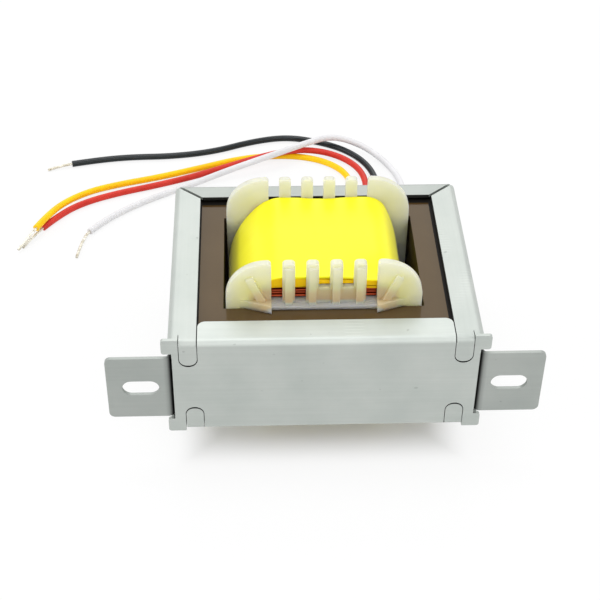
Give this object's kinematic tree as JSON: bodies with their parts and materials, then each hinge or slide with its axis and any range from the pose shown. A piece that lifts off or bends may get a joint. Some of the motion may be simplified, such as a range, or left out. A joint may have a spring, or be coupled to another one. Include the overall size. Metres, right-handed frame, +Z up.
{
  "type": "isolation transformer",
  "caption": "Open-frame isolation transformer with a laminated core, a slotted bobbin under yellow tape, a folded steel clamp frame with slotted mounting ears, and flying leads.",
  "frame": {"origin": "centre of the object's box at its base, under the bobbin's lower fins, with the leads left out of the box", "axes": "+X along the two mounting ears, +Y from the base plate towards the back of the frame, +Z up"},
  "size_m": [0.1259, 0.132, 0.0468],
  "materials": {
    "zinc_steel": "pale zinc-coated sheet, satin",
    "varnished_laminations": "brown varnish over stacked steel, glossy",
    "natural_nylon": "natural nylon, slightly translucent",
    "enamelled_copper": "enamelled copper wire in layers",
    "amber_tape": "amber polyester tape",
    "yellow_tape": "bright yellow polyester tape",
    "white_insulation": "white soft plastic insulation",
    "black_insulation": "black soft plastic insulation",
    "red_insulation": "red soft plastic insulation",
    "yellow_insulation": "golden yellow soft plastic insulation",
    "tinned_copper": "tinned and twisted strands"
  },
  "bodies": {
    "root": {"base_plate": "zinc_steel", "clamp_frame": "zinc_steel", "e_lamination_stack": "varnished_laminations", "i_lamination_stack": "varnished_laminations", "bobbin": "natural_nylon", "primary_winding": "enamelled_copper", "winding_separator": "amber_tape", "secondary_winding": "enamelled_copper", "front_margin_tape": "amber_tape", "rear_margin_tape": "amber_tape", "outer_tape": "yellow_tape", "white_lead": "white_insulation", "black_lead": "black_insulation", "red_lead": "red_insulation", "yellow_lead": "yellow_insulation", "white_tip": "tinned_copper", "black_tip": "tinned_copper", "red_tip": "tinned_copper", "yellow_tip": "tinned_copper"}
  },
  "joints": []
}
